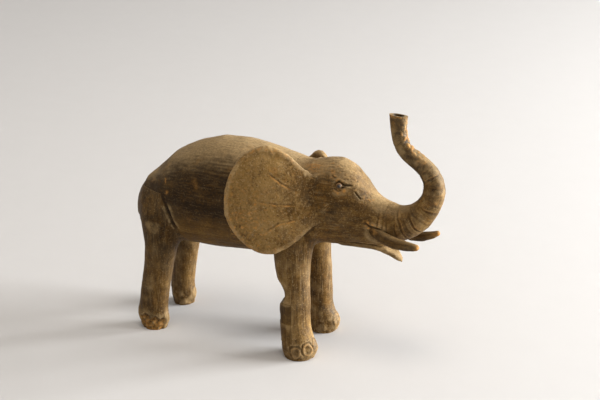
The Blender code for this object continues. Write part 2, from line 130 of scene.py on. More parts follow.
def node_box(name):
    """Lowest and highest corner of a CAD node in millimetres."""
    low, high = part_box(name)
    return np.array(low) / MM, np.array(high) / MM


# ---------------------------------------------------------------- mesh tools
def new_mesh(name, points, faces):
    """Mesh from points in millimetres."""
    mesh = bpy.data.meshes.new(name)
    mesh.from_pydata([tuple(p) for p in np.asarray(points) * MM], [], faces)
    mesh.update()
    return mesh


def read_points(mesh):
    flat = np.empty(len(mesh.vertices) * 3)
    mesh.vertices.foreach_get("co", flat)
    return flat.reshape(-1, 3) / MM


def write_points(mesh, points):
    mesh.vertices.foreach_set("co", (points * MM).ravel())
    mesh.update()


def read_normals(mesh):
    flat = np.empty(len(mesh.vertices) * 3)
    mesh.vertex_normals.foreach_get("vector", flat)
    return flat.reshape(-1, 3)


def read_edges(mesh):
    flat = np.empty(len(mesh.edges) * 2, dtype=np.int64)
    mesh.edges.foreach_get("vertices", flat)
    return flat.reshape(-1, 2)


def put_attribute(mesh, name, values):
    layer = mesh.attributes.get(name) or mesh.attributes.new(name, "FLOAT", "POINT")
    layer.data.foreach_set("value", values.astype(np.float32))


def modified(mesh, kind, **settings):
    """A new mesh: the given one with one modifier applied."""
    obj = bpy.data.objects.new("work", mesh)
    bpy.context.scene.collection.objects.link(obj)
    modifier = obj.modifiers.new("work", kind)
    for name, value in settings.items():
        setattr(modifier, name, value)
    depsgraph = bpy.context.evaluated_depsgraph_get()
    result = bpy.data.meshes.new_from_object(obj.evaluated_get(depsgraph))
    bpy.data.objects.remove(obj, do_unlink=True)
    return result


def combined(mesh, cutter, operation="DIFFERENCE"):
    """Boolean of two closed meshes."""
    other = bpy.data.objects.new("cutter", cutter)
    bpy.context.scene.collection.objects.link(other)
    result = modified(mesh, "BOOLEAN", object=other, operation=operation, solver="MANIFOLD")
    bpy.data.objects.remove(other, do_unlink=True)
    return result


def cad_solid(node, grow=0.0):
    """Welded points and faces of a CAD node, grown along its normals, as a mesh."""
    bm = bmesh.new()
    bm.from_mesh(NODES[node].data)
    bmesh.ops.remove_doubles(bm, verts=bm.verts, dist=1e-6)
    bm.normal_update()
    points = [v.co / MM + v.normal * min(v.calc_shell_factor(), 1.5) * grow for v in bm.verts]
    faces = [[v.index for v in f.verts] for f in bm.faces]
    bm.free()
    return new_mesh(node, points, faces)


def joined(name, meshes):
    bm = bmesh.new()
    for mesh in meshes:
        bm.from_mesh(mesh)
    result = bpy.data.meshes.new(name)
    bm.to_mesh(result)
    bm.free()
    return result


def neighbour_mean(points, edges, count):
    ends = np.concatenate((edges[:, 0], edges[:, 1]))
    others = np.concatenate((edges[:, 1], edges[:, 0]))
    sums = [np.bincount(ends, weights=points[others, k], minlength=len(points)) for k in range(3)]
    return np.stack(sums, 1) / count[:, None]


def relaxed(points, edges, pairs):
    """Smoothing that takes out facets but keeps the volume: each step in is followed by one out."""
    count = np.maximum(np.bincount(edges.ravel(), minlength=len(points)), 1)
    for _ in range(pairs):
        for rate in (0.63, -0.67):
            points = points + rate * (neighbour_mean(points, edges, count) - points)
    return points


def refined(name, solids, voxel, pairs):
    """Closed solids fused into one smooth skin of small quads."""
    mesh = modified(joined(name, solids), "REMESH", mode="VOXEL", voxel_size=voxel * MM)
    write_points(mesh, relaxed(read_points(mesh), read_edges(mesh), pairs))
    return modified(mesh, "SUBSURF", levels=1, render_levels=1)


def lathe(name, base, axis, stations, turns=48):
    """Closed body of revolution from (distance along the axis, radius) stations."""
    axis = Vector(axis).normalized()
    side = axis.orthogonal().normalized()
    up = axis.cross(side)
    points, faces = [], []
    for along, radius in stations:
        for k in range(turns):
            t = 2 * math.pi * k / turns
            points.append(Vector(base) + axis * along + (side * math.cos(t) + up * math.sin(t)) * radius)
    for row in range(len(stations) - 1):
        for k in range(turns):
            a, b = row * turns + k, row * turns + (k + 1) % turns
            faces.append((a, b, b + turns, a + turns))
    faces.append(tuple(range(turns))[::-1])
    faces.append(tuple(range((len(stations) - 1) * turns, len(stations) * turns)))
    return new_mesh(name, points, faces)


def prism(name, outline, y_low, y_high):
    """An outline in the XZ plane pushed along Y, faces outward."""
    count = len(outline)
    area = sum(a[0] * b[1] - b[0] * a[1] for a, b in zip(outline, outline[1:] + outline[:1]))
    outline = outline if area > 0 else outline[::-1]
    points = [(x, y_high, z) for x, z in outline] + [(x, y_low, z) for x, z in outline]
    faces = [tuple(range(count))[::-1], tuple(range(count, 2 * count))]
    faces += [(i, (i + 1) % count, count + (i + 1) % count, count + i) for i in range(count)]
    return new_mesh(name, points, faces)


def offset(outline, amount):
    """A convex outline with every edge moved outwards."""
    middle = sum((Vector(p) for p in outline), Vector((0, 0))) / len(outline)
    corners = []
    for i, here in enumerate(outline):
        here = Vector(here)
        before = (here - Vector(outline[i - 1])).normalized()
        after = (Vector(outline[(i + 1) % len(outline)]) - here).normalized()
        normals = [Vector((edge.y, -edge.x)) for edge in (before, after)]
        normals = [n if n.dot(here - middle) > 0 else -n for n in normals]
        bisector = (normals[0] + normals[1]).normalized()
        corners.append(tuple(here + bisector * amount / bisector.dot(normals[0])))
    return tuple(corners)


def side_prism(outline, inner, hand, grow):
    low, high = sorted((hand * (inner - grow), hand * FAR))
    return prism("side", offset(outline, grow), low, high)


def noise_at(points, size, seed=0.0):
    """Smooth noise from -1 to 1 whose features are about size millimetres."""
    shift = Vector((seed * 17.3, seed * 5.1, seed * 9.7))
    return np.array([noise.noise(Vector(p) / size + shift) for p in points])


def smoothstep(low, high, value):
    t = np.clip((value - low) / (high - low), 0.0, 1.0)
    return t * t * (3 - 2 * t)


# ---------------------------------------------------------------- carving
class Carver:
    """Moves a skin's points along their normals, and keeps the paint layers that the wood reads.

    bare is fresh orange wood where a tool or wear has opened the surface, the dark layer is dirt together
    with painted shade in hollows, creases and cuts, and proud is the rubbed look of edges.
    """

    def __init__(self, mesh):
        self.mesh = mesh
        self.points = read_points(mesh)
        self.normals = read_normals(mesh)
        self.edges = read_edges(mesh)
        self.count = np.maximum(np.bincount(self.edges.ravel(), minlength=len(self.points)), 1)
        self.bare = np.zeros(len(self.points))
        self.grime_and_shade = np.zeros(len(self.points))
        self.proud = np.zeros(len(self.points))

    def near(self, low, high):
        """Indices of the points inside a box."""
        inside = np.all((self.points >= low) & (self.points <= high), axis=1)
        return np.nonzero(inside)[0]

    def push(self, index, amount):
        self.points[index] += self.normals[index] * np.asarray(amount)[:, None]

    def settle(self):
        write_points(self.mesh, self.points)
        self.normals = read_normals(self.mesh)

    def tint(self, layer, index, amount):
        """Raises a paint layer to the given amount at some points, and never lowers it."""
        values = getattr(self, layer)
        values[index] = np.maximum(values[index], amount)

    def finished(self):
        """The mesh, with shade and dirt painted in its hollows, wear on its edges, and every layer stored on
        it.
        """
        paint_shade_and_wear(self)
        for layer in LAYERS:
            put_attribute(self.mesh, layer, getattr(self, layer))
        return self.mesh

    def groove(self, path, width, depth, lip=0.0, bare=0.0, grime_and_shade=0.0, fill=0.0, wander=0.35):
        """A cut along a line of points: painted shade and fill are painted in it, bare on its raised edges.
        """
        path = np.asarray(path, float)
        reach = 5 * width
        index = self.near(path.min(0) - reach, path.max(0) + reach)
        if not len(index):
            return
        here = self.points[index]
        away = np.full(len(index), 1e9)
        share = np.zeros(len(index))
        lengths = np.r_[0, np.cumsum(np.linalg.norm(np.diff(path, axis=0), axis=1))]
        for i, (a, b) in enumerate(zip(path, path[1:])):
            along = b - a
            t = np.clip((here - a) @ along / (along @ along), 0, 1)
            d = np.linalg.norm(here - a - t[:, None] * along, axis=1)
            closer = d < away
            away = np.where(closer, d, away)
            share = np.where(closer, (lengths[i] + t * (lengths[i + 1] - lengths[i])) / lengths[-1], share)
        keep = away < reach
        index, away, share, here = index[keep], away[keep], share[keep], here[keep]
        away = away * (1 + wander * noise_at(here, 1.7, width))
        taper = smoothstep(0, 0.15, share) * smoothstep(0, 0.15, 1 - share) * 0.8 + 0.2
        cut = np.exp(-((away / width) ** 2)) * taper
        ridge = np.exp(-(((away - 2.0 * width) / (0.8 * width)) ** 2)) * taper
        self.push(index, lip * ridge - depth * cut)
        self.tint("bare", index, np.maximum(bare * ridge, fill * cut))
        self.tint("grime_and_shade", index, grime_and_shade * cut)

    def mound(self, centre, radius, height, stretch=(1, 1, 1)):
        """A soft swelling, or a hollow if height is negative."""
        centre, stretch = np.asarray(centre, float), np.asarray(stretch, float)
        reach = 2.5 * radius * stretch
        index = self.near(centre - reach, centre + reach)
        away = np.linalg.norm((self.points[index] - centre) / stretch, axis=1) / radius
        self.push(index, height * np.exp(-(away**2)))

    def paint(self, layer, centre, radius, amount, stretch=(1, 1, 1)):
        centre, stretch = np.asarray(centre, float), np.asarray(stretch, float)
        away = np.linalg.norm((self.points - centre) / stretch, axis=1) / radius
        values = getattr(self, layer)
        np.maximum(values, amount * np.exp(-(away**2)), out=values)

    def hollowness(self, rounds):
        """How far each point lies under its neighbours, averaged over some rounds."""
        value = np.einsum(
            "ij,ij->i", neighbour_mean(self.points, self.edges, self.count) - self.points, self.normals
        )
        for _ in range(rounds):
            value = neighbour_mean(value[:, None].repeat(3, 1), self.edges, self.count)[:, 0]
        return value


# ---------------------------------------------------------------- the skin and its details
def skin_solids():
    """The CAD pieces that become the skin, with the hidden hollows filled and the ends run long."""
    solids = [cad_solid(name, SKIN_GROW) for name in SKIN_NODES + DOWELS]
    for name in SKIN_NODES:
        if name.startswith("leg") and not name.endswith("strip"):
            solids.append(foot_extension(name))
    tip = cad_tip()
    solids.append(lathe("tip", tip - (0, 0, 7), (0, 0, 1), ((0, 4.0), (7, 4.9), (13, 5.6)), 24))
    return solids


def cad_tip():
    """Middle of the trunk's open end."""
    points = read_points(cad_solid("trunk"))
    rim = points[points[:, 2] > points[:, 2].max() - 0.5]
    return (rim.min(0) + rim.max(0)) / 2


def foot_centre(name):
    points = read_points(cad_solid(name))
    sole = points[points[:, 2] < 0.8]
    return (sole.min(0) + sole.max(0)) / 2, (sole.max(0) - sole.min(0)) / 2


def foot_extension(name):
    """A plug that carries a leg below the ground, so that its sole can be cut flat afterwards."""
    centre, half = foot_centre(name)
    mesh = lathe(name, (centre[0], centre[1], -5), (0, 0, 1), ((0, 0.97), (6, 1.0)), 24)
    points = read_points(mesh)
    points[:, :2] = centre[:2] + (points[:, :2] - centre[:2]) * half[:2]
    write_points(mesh, points)
    return mesh


def carve_trunk(skin):
    """Ring creases across the trunk, set by the length along its middle line."""
    line = np.array([(x, 0.0, z) for x, z in TRUNK_LINE])
    steps = np.r_[0, np.cumsum(np.linalg.norm(np.diff(line, axis=0), axis=1))]
    fine = np.linspace(0, steps[-1], 400)
    centre = np.stack([np.interp(fine, steps, line[:, k]) for k in range(3)], 1)
    ahead = np.gradient(centre, axis=0)
    ahead /= np.linalg.norm(ahead, axis=1)[:, None]
    index = skin.near((53.0, -16.0, 71.0), (95.0, 16.0, 150.0))
    here = skin.points[index]
    nearest = np.argmin(((here[:, None, :] - centre[None, :, :]) ** 2).sum(2), axis=1)
    offset_from = here - centre[nearest]
    place = fine[nearest] + (offset_from * ahead[nearest]).sum(1)
    inner = np.cross(ahead[nearest], (0, 1, 0))
    round_to = np.arctan2((offset_from * -inner).sum(1), np.abs(offset_from[:, 1]))
    wobble = noise_at(here, 5.0, 2.0)
    end = fine[-1]
    cut = np.zeros(len(index))
    glow = np.zeros(len(index))
    for i, (at, strength) in enumerate(TRUNK_RINGS):
        away = place - at - 0.8 * math.sin(3.1 * i) * round_to - 0.6 * wobble
        side = smoothstep(-1.2, -0.2, round_to + 0.5 * math.sin(1.9 * i))
        side *= 1 - 0.6 * smoothstep(0.8, 1.5, round_to)
        cut = np.maximum(cut, strength * side * np.exp(-((away / 0.34) ** 2)))
        glow = np.maximum(glow, strength * side * np.exp(-(((away - 0.8) / 0.45) ** 2)))
    keep = smoothstep(54.0, 59.0, here[:, 0]) * (1 - smoothstep(end - 6, end - 2, place))
    skin.push(index, keep * (0.06 * glow - 0.38 * cut))
    # Painted shade darkens the bottom of each ring crease.
    skin.tint("grime_and_shade", index, 0.9 * keep * cut)
    skin.tint("bare", index, 0.28 * keep * glow)
    torn = np.exp(-(((place - 76.0) / 11.0) ** 2)) * smoothstep(0.45, 1.0, round_to)
    torn *= smoothstep(-0.1, 0.25, noise_at(here, 1.9, 30.0))
    skin.push(index, 0.65 * torn)
    skin.tint("bare", index, 0.9 * torn)
    mouth = smoothstep(end - 2.0, end - 0.6, place)
    skin.tint("bare", index, 0.6 * mouth)


def carve_foot(skin, name, hand, toes, chipped):
    """Swollen toes, some with a dished nail under an arched cut; chipped breaks the outer side open."""
    centre, half = foot_centre(name)
    low, high = centre - (16, 16, 5), centre + (16, 16, 20)
    index = skin.near(low, high)
    here = skin.points[index]
    flat = here[:, :2] - centre[:2]
    radius = half[:2].mean()
    bearing = np.degrees(np.arctan2(flat[:, 1], flat[:, 0]))
    height = here[:, 2]
    outward = np.linalg.norm(flat, axis=1) > 0.6 * radius
    amount = np.zeros(len(index))
    uneven = noise_at(here, 3.0, 32.0)
    for turn, lift, swollen, sharp in toes:
        turn = -hand * turn
        across = np.radians((bearing - turn + 180) % 360 - 180) * (radius + 1.5)
        up = height - lift
        away = np.hypot(across, up * 0.88) * (1 + 0.25 * uneven)
        swell = swollen * np.exp(-((np.hypot(across, (up + 1.0) * 0.75) / 3.9) ** 2))
        dish = 1 - smoothstep(1.0, 2.1, away)
        rim = np.exp(-(((away - 2.4) / 0.5) ** 2))
        cut = smoothstep(-3.2, 0.2, up - 0.6 * across) * np.exp(-(((away - 3.2) / 0.35) ** 2))
        amount += np.where(outward, swell + sharp * (0.3 * rim - 0.35 * dish - 0.55 * cut), 0)
        # Painted shade darkens each arched nail cut and the line round each nail.
        dark = sharp * np.maximum(0.75 * cut, 0.45 * np.exp(-(((away - 1.8) / 0.4) ** 2)))
        skin.tint("grime_and_shade", index, np.where(outward, dark, 0))
        skin.tint("bare", index, np.where(outward, 0.3 * sharp * rim, 0))
    if chipped:
        toward = np.abs((bearing - hand * 76 + 180) % 360 - 180)
        ledge = 9.2 + 3.4 * noise_at(here * (1, 1, 0), 3.6, 36.0) - 0.04 * toward
        patch = smoothstep(0.5, -0.3, height - ledge) * smoothstep(62, 50, toward)
        grains = 0.5 + 0.5 * noise_at(here, 2.4, 37.0)
        amount += np.where(outward, patch * (0.7 * grains - 1.1), 0)
        skin.tint("bare", index, np.where(outward, 0.6 * patch * (0.3 + 0.7 * grains), 0))
        # Painted shade runs along the ledge, under the overhanging leg.
        edge = np.exp(-(((height - ledge - 0.1) / 0.4) ** 2)) * smoothstep(62, 50, toward)
        skin.tint("grime_and_shade", index, np.where(outward, 0.7 * edge, 0))
    amount += 0.35 * noise_at(here, 2.3, 31.0) * smoothstep(13.0, 8.0, height)
    amount += 0.12 * noise_at(here * (0.4, 0.4, 1.0), 0.9, 38.0) * smoothstep(16.0, 9.0, height)
    skin.push(index, amount * smoothstep(-2.0, 0.2, height))


def carve_ear(skin, name, hand):
    """A rolled rim, worn edges with a painted highlight and a coarse patch; the left ear is carved down to a
    narrower tip.
    """
    low, high = node_box(name)
    index = skin.near(low - 1.5, high + 1.5)
    solid = read_points(cad_solid(name))
    if hand > 0:
        peak = solid[np.argmax(solid[:, 2]), 0]
        fall = np.minimum(0.05 * (skin.points[index][:, 0] - peak + 1.5) ** 2, 2.2)
        skin.points[index, 2] -= fall * smoothstep(high[2] - 16, high[2] - 4, skin.points[index][:, 2])
    here = skin.points[index]
    outside = hand * skin.normals[index][:, 1] > 0.15
    hub = (solid[:, [0, 2]].min(0) + solid[:, [0, 2]].max(0)) / 2
    rays = solid[:, [0, 2]] - hub
    bearing, reach = np.arctan2(rays[:, 1], rays[:, 0]), np.linalg.norm(rays, axis=1)
    apart = np.abs((bearing[:, None] - bearing[None, :] + math.pi) % (2 * math.pi) - math.pi)
    furthest = np.where(apart < 0.25, reach[None, :], 0).max(axis=1)
    rim_points = reach > 0.88 * furthest
    order = np.argsort(bearing[rim_points])
    flat = here[:, [0, 2]] - hub
    edge = np.interp(
        np.arctan2(flat[:, 1], flat[:, 0]), bearing[rim_points][order], reach[rim_points][order],
        period=2 * math.pi,
    )
    inside = edge - np.linalg.norm(flat, axis=1)
    along = (here[:, 0] - low[0]) / (high[0] - low[0])
    root = smoothstep(0.72, 0.55, along)
    ripple = 1 + 0.9 * noise_at(here, 6.0, 3.0)
    rim = np.exp(-(((inside - 1.0) / 1.0) ** 2)) * root
    gutter = np.exp(-(((inside - 4.2) / 1.6) ** 2)) * root
    skin.push(index, np.where(outside, ripple * (0.32 * rim - 0.24 * gutter), 0))
    low_back = np.array((low[0] + 0.2 * (high[0] - low[0]), low[2] + 0.27 * (high[2] - low[2])))
    coarse = np.exp(-((np.linalg.norm(here[:, [0, 2]] - low_back, axis=1) / 15.0) ** 2)) * 0.8 + 0.2
    grains = smoothstep(0.1, 0.5, noise_at(here, 1.25, 33.0)) * coarse
    holes = smoothstep(0.25, 0.55, noise_at(here, 1.4, 34.0)) * coarse
    skin.push(index, np.where(outside, 0.12 * grains - 0.15 * holes, 0))
    skin.tint("bare", index, np.where(outside, 0.8 * grains, 0))
    # Painted shade in the holes of the coarse patch.
    skin.tint("grime_and_shade", index, np.where(outside, 0.4 * holes, 0))
    # A band along the rim painted as bare wood: wear there, and also a painted highlight along the edge.
    rim_wear_and_highlight = np.exp(-(((inside - 0.8) / 0.7) ** 2)) * smoothstep(-0.4, 0.3, noise_at(here, 3.0, 39.0)) * root
    skin.tint("bare", index, np.where(outside, 0.55 * rim_wear_and_highlight, 0))
    middle = low + (high - low) * (0.35, 0.5, 0.48)
    nick = [on_side(skin, middle + (x, 0, z), hand) for x, z in ((-1.0, -0.8), (1.0, 0.8))]
    skin.groove(nick, 0.55, 0.2, fill=1.0)


def vein(skin, name, hand, ends):
    """One cut across the ear between shares of its box: a dark line of painted shade with bare wood under it.
    """
    low, high = node_box(name)
    places = [low + (high - low) * np.array((u, 0.5, w)) for u, w in ends]
    skin.groove([on_side(skin, p + (0, 0, 0.35), hand) for p in places], 0.34, 0.3, grime_and_shade=0.7)
    skin.groove([on_side(skin, p - (0, 0, 0.35), hand) for p in places], 0.38, 0.1, fill=0.75)


def on_side(skin, point, hand):
    """The outermost skin point beside the given one."""
    flat = skin.points[:, [0, 2]] - np.asarray(point)[[0, 2]]
    index = np.nonzero((flat**2).sum(1) < 0.8)[0]
    return skin.points[index[np.argmax(hand * skin.points[index, 1])]]


def carve_face(skin, hand):
    """Eye, lids, brow, cheek scratches, the sheath over the tusk and the line of the mouth."""
    low, high = node_box("eye_right" if hand < 0 else "eye_left")
    eye = (low + high) / 2

    def across(*offsets):
        """Skin points beside the eye, given by how far forward and up of it they are."""
        return [on_side(skin, eye + (x, 0, z), hand) for x, z in offsets]

    skin.mound(eye + (0.3, 0, 0), 2.4, -0.5)
    skin.mound(across((-0.4, 3.2))[0], 2.6, 0.5, (1.6, 1, 0.7))
    skin.mound(across((0.6, -3.6))[0], 2.6, 0.4, (1.5, 1, 0.6))
    # The dark paint in these cuts is painted shade in the lid creases, the brow and the cheek.
    skin.groove(across((-1.6, 1.3), (0.4, 1.5), (2.6, 0.9), (6.2, 0.2)), 0.55, 0.85, lip=0.2, grime_and_shade=1.0)
    skin.groove(across((1.2, -0.6), (2.8, 0.1), (4.6, 0.2)), 0.75, 0.65, grime_and_shade=1.0)
    skin.groove(across((-1.8, -0.8), (-0.4, -1.9), (1.6, -1.6)), 0.4, 0.35, bare=0.4, grime_and_shade=0.6)
    skin.groove(across((8.3, -2.8), (10.0, -4.9), (11.7, -6.5)), 0.42, 0.6, lip=0.2, grime_and_shade=1.0)
    skin.groove(across((-4.6, 5.4), (-3.8, 4.8), (-2.8, 4.2)), 0.4, 0.4, lip=0.15, bare=0.6, grime_and_shade=0.8)
    for spot in across((0.6, -2.6), (3.2, -1.6), (-0.2, 2.7), (-4.4, 6.4)):
        skin.paint("bare", spot, 1.0, 0.95)
    skin.mound(across((9.5, -1.5))[0], 3.0, 0.45, (1.7, 1, 1.0))
    skin.mound(across((1.0, -8.5))[0], 4.5, 0.3)
    for start, middle, end in (
        ((-7.6, -15.5), (-5.4, -12.9), (-3.3, -9.4)),
        ((-10.8, -25.8), (-2.9, -25.3), (4.5, -23.5)),
        ((-9.0, -24.2), (-1.0, -23.8), (3.0, -22.6)),
        ((2.0, -20.0), (4.4, -17.8), (5.4, -15.2)),
    ):
        skin.groove(across(start, middle, end), 0.3, 0.1, lip=0.06, fill=0.25)
    neck = across((-18.8, 8.6), (-17.4, 5.4), (-16.6, 2.6))
    skin.groove(neck, 0.7, -0.45, wander=0.1)
    skin.groove(across((-10.4, -23.2), (-11.4, -26.6), (-12.4, -30.0)), 1.1, -0.5, wander=0.1)
    skin.paint("bare", across((-15.5, 5.0))[0] * (1, 0.45, 1) + (0, 0, 1), 3.6, 0.75, (1.3, 1, 0.6))
    low, high = node_box("tusk_right" if hand < 0 else "tusk_left")
    root = np.array((low[0] + 4.0, hand * 11.0, high[2] - 5.0))
    skin.mound(root, 4.6, 0.7, (1.6, 1, 0.9))
    line = [on_side(skin, root + (x, 0, z), hand) for x, z in ((-4.5, 7.0), (-1.0, 4.6), (3.0, 2.6))]
    # The dark paint in the sheath line and the mouth is painted shade in the cuts.
    skin.groove(line, 0.6, 0.75, lip=0.3, bare=1.0, grime_and_shade=0.9)
    rim = node_box("lower_jaw")[1][2]
    ends = ((43.0, 0.5), (50.0, 0.4), (56.0, 0.2), (60.5, -0.2))
    mouth = [on_side(skin, (x, 0, rim + z), hand) for x, z in ends]
    skin.groove(mouth, 0.5, 0.6, lip=0.15, bare=0.2, grime_and_shade=0.95)


def carve_crown(skin):
    """Pits and tool nicks over the forehead and the nape, where the block was left rough."""
    index = skin.near((12.0, -14.0, 84.0), (64.0, 14.0, 115.0))
    here, up = skin.points[index], skin.normals[index][:, 2]
    region = smoothstep(0.25, 0.7, up) * smoothstep(12.0, 17.0, here[:, 0])
    stretched = here * (0.6, 1.0, 1.0)
    patches = smoothstep(-0.3, 0.3, noise_at(here, 9.0, 35.0))
    pits = smoothstep(0.22, 0.5, noise_at(stretched, 0.95, 4.0)) * region * patches
    crumbs = smoothstep(0.2, 0.55, noise_at(stretched, 1.1, 5.0)) * region * patches
    skin.push(index, 0.1 * crumbs - 0.16 * pits)
    # Painted shade in the pits.
    skin.tint("grime_and_shade", index, 0.6 * pits)
    skin.tint("bare", index, 0.5 * crumbs)


def carve_haunch(skin, hand):
    """The deep cut that frees the thigh from the belly, and small marks on the rump."""
    crease = ((-61.6, 79.5), (-59.2, 74.0), (-57.0, 68.0), (-55.2, 62.5))
    path = [on_side(skin, (x, 0, z), hand) for x, z in crease]
    # The dark paint in the crease is painted shade in the cut.
    skin.groove(path, 0.95, 1.1, lip=0.15, grime_and_shade=0.95)
    skin.mound(path[0], 1.8, -0.5, (1, 1, 1.6))
    skin.mound(path[3], 3.0, -0.5)
    scratch = [on_side(skin, (x, 0, z), hand) for x, z in ((-63.0, 93.2), (-62.0, 90.6))]
    skin.groove(scratch, 0.4, 0.12, fill=0.7)
    skin.paint("bare", on_side(skin, (-60.4, 0, 86.0), hand), 1.0, 0.6)
    skin.paint("grime_and_shade", on_side(skin, (-46.7, 0, 83.6), hand), 1.8, 0.8)
    step = [on_side(skin, (x, 0, z), hand) for x, z in ((-79.5, 67.5), (-83.5, 65.5), (-86.5, 64.0))]
    # The dark paint in this groove is painted shade.
    skin.groove(step, 1.0, 0.35, lip=0.15, grime_and_shade=0.3)


def carve_surface(skin):
    """Knife facets, fibres and general unevenness all over."""
    here = skin.points
    skin.push(slice(None), 0.26 * noise_at(here, 10.0, 6.0) + 0.12 * noise_at(here, 3.6, 7.0))
    on_leg = smoothstep(66.0, 54.0, here[:, 2])
    fibre = noise_at(here * (0.08, 1.0, 1.0), 1.4, 8.0) * (1 - on_leg)
    fibre += noise_at(here * (1.0, 1.0, 0.07), 1.3, 9.0) * on_leg * 1.4
    skin.push(slice(None), 0.055 * fibre)


def carve_strip(skin):
    """The dark, sunken upper end of the strip let into the right front leg."""
    low, high = node_box("leg_front_right_strip")
    index = skin.near((low[0] - 4, low[1] - 3, 0), (high[0] + 0.4, high[1], high[2] + 0.5))
    height = skin.points[index][:, 2]
    sunk = smoothstep(high[2] - 10.6, high[2] - 9.8, height)
    skin.push(index, -0.3 * sunk)
    skin.tint("grime_and_shade", index, 0.35 * sunk)


def paint_shade_and_wear(skin):
    """Painted shade together with dirt in every hollow, and a rubbed look on every edge."""
    fine = skin.hollowness(1)
    broad = skin.hollowness(10)
    skin.grime_and_shade = np.maximum(skin.grime_and_shade, 0.6 * smoothstep(0.008, 0.045, fine))
    skin.grime_and_shade = np.maximum(skin.grime_and_shade, 0.55 * smoothstep(0.004, 0.02, broad))
    skin.proud = np.maximum(smoothstep(0.008, 0.04, -fine), 0.8 * smoothstep(0.004, 0.014, -broad))


def carved_skin():
    skin = Carver(refined("skin", skin_solids(), SKIN_VOXEL, SMOOTH_PAIRS))
    carve_surface(skin)
    skin.settle()
    carve_crown(skin)
    carve_trunk(skin)
    carve_strip(skin)
    for hand, side in ((-1, "right"), (1, "left")):
        carve_foot(skin, f"leg_front_{side}", hand, FRONT_TOES, False)
        carve_foot(skin, f"leg_rear_{side}", hand, REAR_TOES, True)
        carve_haunch(skin, hand)
        carve_face(skin, hand)
        carve_ear(skin, f"ear_{side}", hand)
    for ends in EAR_VEINS:
        vein(skin, "ear_right", -1, ends)
        vein(skin, "ear_left", 1, ends)
    skin.settle()
    return skin.finished()


# ---------------------------------------------------------------- dividing the skin at the joints
def ahead_of_neck(shift):
    """Everything in front of the slanting neck joint, moved forward by shift."""
    lean = (NECK_LOW[0] - NECK_TOP[0]) / (NECK_LOW[1] - NECK_TOP[1])
    foot = NECK_TOP[0] - NECK_TOP[1] * lean + shift
    crown = foot + 160.0 * lean
    return prism("neck", ((foot, 0.0), (crown, 160.0), (FAR, 160.0), (FAR, 0.0)), -FAR, FAR)


def block(name, low, high):
    """An axis-aligned cutter."""
    outline = ((low[0], low[2]), (high[0], low[2]), (high[0], high[2]), (low[0], high[2]))
    return prism(name, outline, low[1], high[1])


def divided(skin):
    """The skin cut into named meshes, one for each CAD node that it was made from."""
    ground = block("ground", (-FAR, -FAR, -20), (FAR, FAR, 0.02))
    rest = combined(skin, ground)
    rest = combined(rest, trunk_top())
    rest = combined(rest, nostril())
    made = {}
    for name in ("ear_right", "ear_left"):
        made[name] = combined(rest, cad_solid(name, EAR_SEAM - HAIR), "INTERSECT")
        rest = combined(rest, cad_solid(name, EAR_SEAM + HAIR))
    inner = abs(node_box("leg_rear_right")[1][1])
    for place, outline in (("front", SHOULDER), ("rear", HAUNCH)):
        for side, hand in (("right", -1), ("left", 1)):
            made[f"leg_{place}_{side}"] = combined(rest, side_prism(outline, inner, hand, -HAIR), "INTERSECT")
            rest = combined(rest, side_prism(outline, inner, hand, HAIR))
    made["body"] = combined(rest, ahead_of_neck(-HAIR))
    rest = combined(rest, ahead_of_neck(HAIR), "INTERSECT")
    joint = (node_box("head")[1][0] + node_box("trunk")[0][0]) / 2
    made["trunk"] = combined(rest, block("front", (joint + HAIR, -FAR, 0), (FAR, FAR, FAR)), "INTERSECT")
    mouth = node_box("lower_jaw")[1][2] + 0.15
    jaw_back = node_box("lower_jaw")[0][0] - 0.15
    made["lower_jaw"] = combined(
        rest, block("jaw", (jaw_back + HAIR, -FAR, 0), (FAR, FAR, mouth - HAIR)), "INTERSECT"
    )
    rest = combined(rest, block("jaw", (jaw_back - HAIR, -FAR, 0), (FAR, FAR, mouth + HAIR)))
    made["head"] = combined(rest, block("front", (joint - HAIR, -FAR, 0), (FAR, FAR, FAR)))
    made["trunk"] = combined(
        made["trunk"], block("jaw", (jaw_back, -FAR, 0), (FAR, FAR, mouth + HAIR))
    )
    return made


def roughened(mesh, size, amount, seed):
    """A cutter with an uneven, broken surface."""
    points = read_points(mesh)
    points += read_normals(mesh) * (amount * noise_at(points, size, seed))[:, None]
    write_points(mesh, points)
    return mesh


def trunk_top():
    """Everything above the trunk's slightly tilted end."""
    tip = cad_tip()
    mesh = block("top", tip + (-12, -12, -1.0), tip + (12, 12, 30))
    points = read_points(mesh)
    low = points[:, 2] < tip[2] + 5
    points[low, 2] -= (points[low] - tip) @ (0.07, 0.17, 0.0)
    write_points(mesh, points)
    return mesh


def nostril():
    tip = cad_tip()
    stations = ((-7.5, 0.7), (-6.8, 1.6), (-4.6, 2.2), (-2.6, 2.6), (-1.4, 3.1), (-0.4, 3.8), (3.0, 5.2))
    return roughened(lathe("nostril", tip, (-0.03, -0.12, 1), stations, 40), 2.2, 0.3, 11.0)


def bite():
    """The hollow broken out of the right front leg above its strip."""
    low, high = node_box("leg_front_right_strip")
    centre = np.array((3.4, (low[1] + high[1]) / 2 - 1.0, high[2] + 7.0))
    turns = [math.radians(v) for v in range(-85, 86, 10)]
    mesh = lathe("bite", (0, 0, 0), (0, 1, 0), [(math.sin(t), math.cos(t)) for t in turns], 48)
    write_points(mesh, centre + read_points(mesh) * (8.4, 15.0, 7.6))
    roughened(mesh, 3.0, 0.4, 12.0)
    points = read_points(mesh)
    points[:, 2] = np.maximum(points[:, 2], high[2] + 0.1 + 0.06 * (points[:, 0] - centre[0]))
    write_points(mesh, points)
    return mesh


def strip_cutter(grow):
    low, high = node_box("leg_front_right_strip")
    return block("strip", (-FAR, -FAR, low[2] - grow), (high[0] + grow, high[1] + grow, high[2] + 2.0))


